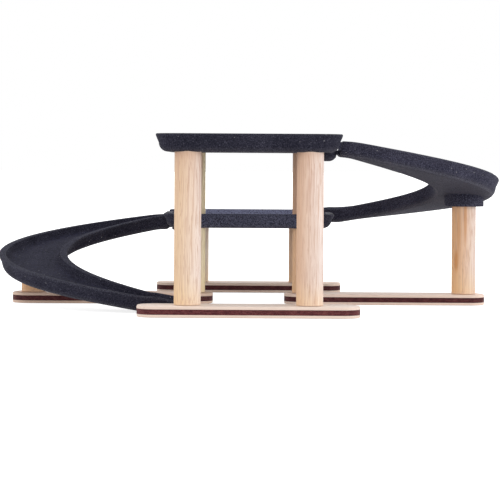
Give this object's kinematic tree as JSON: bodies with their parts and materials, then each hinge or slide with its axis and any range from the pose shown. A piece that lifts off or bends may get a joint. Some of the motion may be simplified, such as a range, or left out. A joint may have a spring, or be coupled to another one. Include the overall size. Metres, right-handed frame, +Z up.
{
  "type": "toy parking garage",
  "caption": "Free-standing toy parking garage: two tray decks on wooden columns and laminated foot plates, joined by helical trough ramps that carry toy cars down to the ground.",
  "frame": {"origin": "on the ground, at the middle of the footprint: midway between the front and back plates and between the two ramp posts", "axes": "+X to the right seen from the front, +Y from front to back, +Z up"},
  "size_m": [0.566, 0.4724, 0.1896],
  "materials": {
    "pale_board": "sanded pale board with a clear satin coat",
    "pale_turned_wood": "turned pale hardwood with long grain and a clear satin coat",
    "maroon_core": "dyed dark maroon wood fibre layer, satin edge",
    "charcoal_composite": "pressed wood-fibre composite, charcoal with fine pale flecks, low sheen"
  },
  "bodies": {
    "stand": {"front_plate_bottom_board": "pale_board", "front_plate_core": "maroon_core", "front_plate_top_board": "pale_board", "back_plate_bottom_board": "pale_board", "back_plate_core": "maroon_core", "back_plate_top_board": "pale_board", "left_plate_bottom_board": "pale_board", "left_plate_core": "maroon_core", "left_plate_top_board": "pale_board", "right_plate_bottom_board": "pale_board", "right_plate_core": "maroon_core", "right_plate_top_board": "pale_board", "front_left_column": "pale_turned_wood", "front_right_column": "pale_turned_wood", "back_left_column": "pale_turned_wood", "back_right_column": "pale_turned_wood", "middle_left_lower_column": "pale_turned_wood", "middle_right_lower_column": "pale_turned_wood", "middle_left_upper_column": "pale_turned_wood", "middle_right_upper_column": "pale_turned_wood", "upper_ramp_post": "pale_turned_wood", "lower_ramp_post": "pale_turned_wood", "top_deck": "charcoal_composite", "middle_deck": "charcoal_composite"},
    "upper_ramp": {"upper_ramp": "charcoal_composite"},
    "lower_ramp": {"lower_ramp": "charcoal_composite"}
  },
  "joints": [
    {"name": "upper_ramp_lift", "type": "slide", "parent": "stand", "child": "upper_ramp", "axis": [0, 0, 1], "range_m": [0, 0.06]},
    {"name": "lower_ramp_lift", "type": "slide", "parent": "stand", "child": "lower_ramp", "axis": [0, 0, 1], "range_m": [0, 0.06]}
  ]
}
